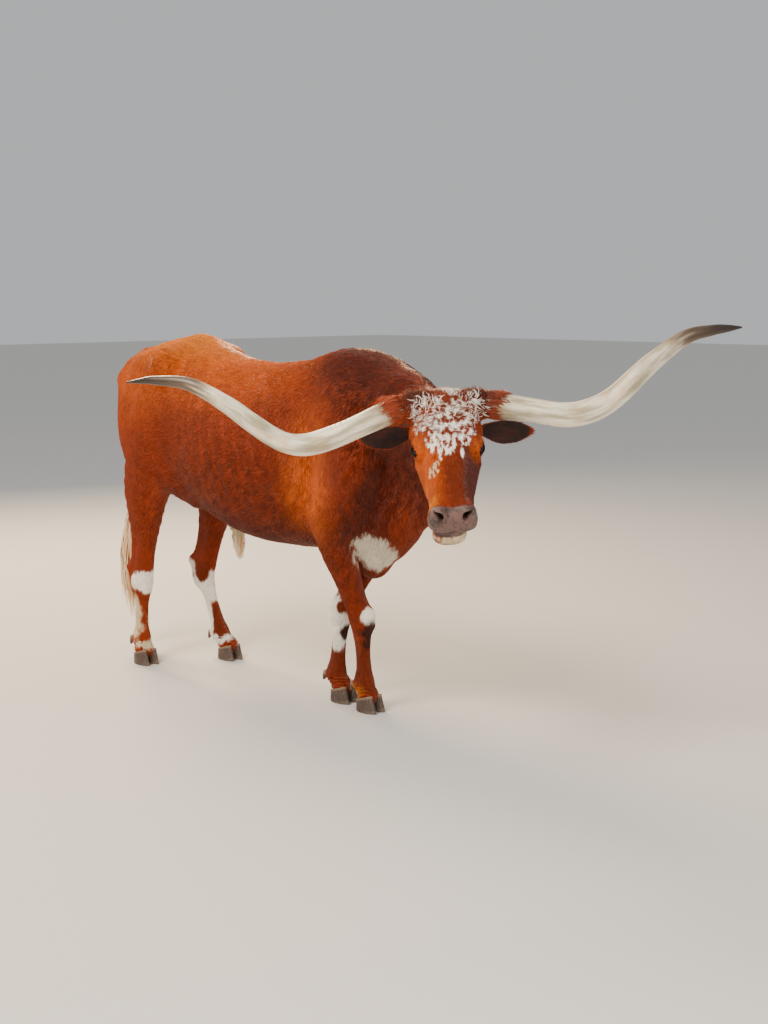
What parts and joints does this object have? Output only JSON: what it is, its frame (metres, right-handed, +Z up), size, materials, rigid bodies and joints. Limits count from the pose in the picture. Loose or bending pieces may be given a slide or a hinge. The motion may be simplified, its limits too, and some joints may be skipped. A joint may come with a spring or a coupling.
{
  "type": "texas longhorn",
  "caption": "Life-size red Texas longhorn steer, standing with its head turned to its right, long spreading horns, white lower legs and pale tail switch.",
  "frame": {"origin": "on the floor, under the middle of the whole animal's box, horns and tail included", "axes": "+X from the tail to the chest along the trunk, +Y to the animal's left, +Z up; the hoof soles stand at Z = 0"},
  "size_m": [2.9752, 1.543, 1.5608],
  "materials": {
    "hide": "short glossy red-brown coat with white and brown markings",
    "pale_hair": "long cream hair",
    "horn": "satin ivory keratin, dark grey-brown towards the tips",
    "hoof": "satin dark keratin",
    "eye": "wet and glossy"
  },
  "bodies": {
    "root": {"ear_left": "hide", "ear_right": "hide", "eye_left": "eye", "eye_right": "eye", "foreleg_left_claw_inner": "hoof", "foreleg_left_claw_outer": "hoof", "foreleg_left_dewclaw_inner": "hoof", "foreleg_left_dewclaw_outer": "hoof", "foreleg_left_lower": "hide", "foreleg_left_upper": "hide", "foreleg_right_claw_inner": "hoof", "foreleg_right_claw_outer": "hoof", "foreleg_right_dewclaw_inner": "hoof", "foreleg_right_dewclaw_outer": "hoof", "foreleg_right_lower": "hide", "foreleg_right_upper": "hide", "head": "hide", "hindleg_left_claw_inner": "hoof", "hindleg_left_claw_outer": "hoof", "hindleg_left_dewclaw_inner": "hoof", "hindleg_left_dewclaw_outer": "hoof", "hindleg_left_lower": "hide", "hindleg_left_upper": "hide", "hindleg_right_claw_inner": "hoof", "hindleg_right_claw_outer": "hoof", "hindleg_right_dewclaw_inner": "hoof", "hindleg_right_dewclaw_outer": "hoof", "hindleg_right_lower": "hide", "hindleg_right_upper": "hide", "horn_left": "horn", "horn_right": "horn", "neck": "hide", "sheath_tuft": "pale_hair", "tail": "hide", "tail_switch": "pale_hair", "torso_barrel": "hide", "torso_chest": "hide", "torso_hindquarters": "hide"}
  },
  "joints": []
}
